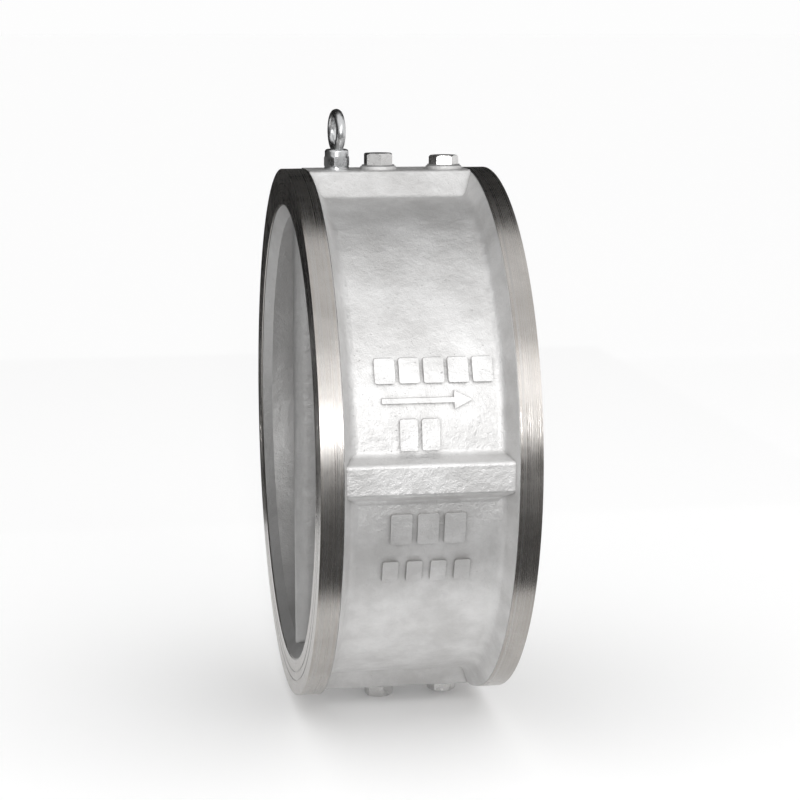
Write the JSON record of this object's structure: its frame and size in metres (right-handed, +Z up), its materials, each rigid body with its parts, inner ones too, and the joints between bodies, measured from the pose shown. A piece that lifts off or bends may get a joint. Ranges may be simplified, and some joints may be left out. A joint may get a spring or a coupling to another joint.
{
  "type": "wafer check valve",
  "caption": "Short ring-shaped dual-plate wafer check valve body with two spring-closed half-disc plates, pin plugs, side ribs and a lifting eye.",
  "frame": {"origin": "centre of the inlet face, on the pipe axis", "axes": "+X along the flow, +Z up along the hinge pin, towards the lifting eye"},
  "size_m": [0.191, 0.495, 0.5641],
  "materials": {
    "cast_body": "pickled casting with turned rims and faces",
    "plates": "fine casting with machined seat face",
    "pins": "ground bar",
    "spring_wire": "drawn wire",
    "plugs": "turned and milled bar",
    "gaskets": "graphite sheet",
    "bearings": "filled fluoropolymer",
    "zinc_eye": "bright zinc plated steel"
  },
  "bodies": {
    "valve": {"body": "cast_body", "hinge_pin": "pins", "stop_pin": "pins", "upper_spring": "spring_wire", "lower_spring": "spring_wire", "hinge_plug_top": "plugs", "hinge_plug_bottom": "plugs", "stop_plug_top": "plugs", "stop_plug_bottom": "plugs", "hinge_plug_gasket_top": "gaskets", "hinge_plug_gasket_bottom": "gaskets", "stop_plug_gasket_top": "gaskets", "stop_plug_gasket_bottom": "gaskets", "upper_body_bearing": "bearings", "lower_body_bearing": "bearings", "upper_lug_bearing": "bearings", "lower_lug_bearing": "bearings", "upper_spring_bearing": "bearings", "lower_spring_bearing": "bearings", "centre_spring_bearing": "bearings", "lifting_eye_bolt": "zinc_eye", "eye_bolt_nut": "zinc_eye", "eye_bolt_washer": "zinc_eye"},
    "left": {"plate_left": "plates"},
    "right": {"plate_right": "plates"}
  },
  "joints": [
    {"name": "left_plate_swing", "type": "hinge", "parent": "valve", "child": "left", "pos_m": [0.0885, 0, 0], "axis": [0, 0, -1], "range_deg": [0, 78], "stiffness_Nm_per_rad": 5, "springref_deg": -85.94, "deforming": ["upper_spring"]},
    {"name": "right_plate_swing", "type": "hinge", "parent": "valve", "child": "right", "pos_m": [0.0885, 0, 0], "axis": [0, 0, 1], "range_deg": [0, 78], "stiffness_Nm_per_rad": 5, "springref_deg": -85.94, "deforming": ["lower_spring"]}
  ]
}
